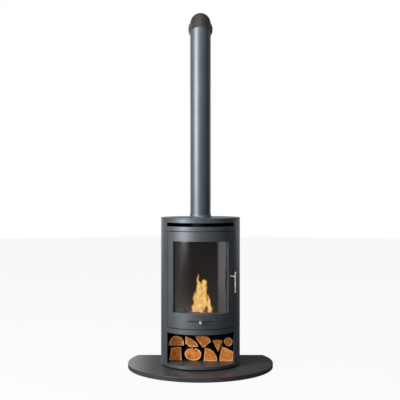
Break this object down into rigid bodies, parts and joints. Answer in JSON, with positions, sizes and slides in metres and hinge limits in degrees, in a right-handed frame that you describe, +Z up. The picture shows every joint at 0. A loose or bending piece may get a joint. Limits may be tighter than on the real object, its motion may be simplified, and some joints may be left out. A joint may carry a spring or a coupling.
{
  "type": "wood burning stove",
  "caption": "Round-fronted wood burning stove with a glazed door, a log store below, a stone hearth plate and a flue pipe that bends to the wall.",
  "frame": {"origin": "on the floor, under the axis of the round body, at the underside of the hearth plate", "axes": "+Z up, the door faces -Y, +X is to the right of someone looking at the door"},
  "size_m": [0.9076, 0.6556, 2.227],
  "materials": {
    "stove_paint": "satin metallic blue-grey",
    "flue_paint": "satin metallic blue-grey",
    "inner_steel": "heat-proof matt black",
    "cast_iron": "rough cast",
    "bright_steel": "brushed",
    "hearth_stone": "honed dark stone",
    "firebrick": "matt, soot-darkened",
    "stove_glass": "clear ceramic glass",
    "rope_seal": "braided rope",
    "firewood": "raw split wood",
    "charred_wood": "charred"
  },
  "bodies": {
    "stove": {"base_plate": "stove_paint", "side_panel_left": "stove_paint", "side_panel_right": "stove_paint", "rear_panel": "stove_paint", "top_plate": "stove_paint", "top_band": "stove_paint", "header_band": "stove_paint", "lower_band": "stove_paint", "flue_pipe": "flue_paint", "flue_elbow": "flue_paint", "flue_collar": "flue_paint", "wall_rosette": "flue_paint", "front_frame": "inner_steel", "store_ceiling": "inner_steel", "firebox_shell": "inner_steel", "firebox_floor": "inner_steel", "firebox_roof": "inner_steel", "ash_pan_shelf": "inner_steel", "hinge_bracket_top": "inner_steel", "hinge_bracket_bottom": "inner_steel", "flue_spigot": "inner_steel", "levelling_foot_1": "cast_iron", "levelling_foot_2": "cast_iron", "levelling_foot_3": "cast_iron", "levelling_foot_4": "cast_iron", "grate": "cast_iron", "log_guard": "cast_iron", "latch_keeper": "cast_iron", "hinge_pin_top": "bright_steel", "hinge_pin_bottom": "bright_steel", "hearth_plate": "hearth_stone", "lining_left": "firebrick", "lining_right": "firebrick", "lining_back": "firebrick", "base_brick_left": "firebrick", "base_brick_right": "firebrick", "baffle": "firebrick", "firewood_log_1": "firewood", "firewood_log_2": "firewood", "firewood_log_3": "firewood", "firewood_log_4": "firewood", "firewood_log_5": "firewood", "firewood_log_6": "firewood", "firewood_log_7": "firewood", "firewood_log_8": "firewood", "firewood_log_9": "firewood", "fire_log_1": "charred_wood", "fire_log_2": "charred_wood"},
    "door": {"door_frame": "stove_paint", "glass_gasket": "rope_seal", "door_glass": "stove_glass", "door_liner": "inner_steel", "door_gasket": "rope_seal", "handle_bush": "stove_paint"},
    "handle": {"handle_bar": "bright_steel", "handle_spindle": "bright_steel", "latch_tongue": "cast_iron"},
    "air_control": {"air_slider": "inner_steel", "air_knob": "bright_steel"},
    "ash_drawer": {"ash_pan": "inner_steel"}
  },
  "joints": [
    {"name": "door_hinge", "type": "hinge", "parent": "stove", "child": "door", "pos_m": [-0.18912, -0.14251, 0.566], "axis": [0, 0, -1], "range_deg": [0, 110]},
    {"name": "handle_turn", "type": "hinge", "parent": "door", "child": "handle", "pos_m": [0.18092, -0.1652, 0.5865], "axis": [0.7385, -0.6743, 0], "range_deg": [0, 90]},
    {"name": "air_slide", "type": "hinge", "parent": "door", "child": "air_control", "pos_m": [0, 0, 0.3225], "axis": [0, 0, 1], "range_deg": [-15, 15]},
    {"name": "ash_pan_slide", "type": "slide", "parent": "stove", "child": "ash_drawer", "axis": [0, -1, 0], "range_m": [0, 0.192]}
  ],
  "couplings": [
    {"joint": "ash_pan_slide", "follows": "door_hinge", "m_per_rad": 0.1}
  ]
}
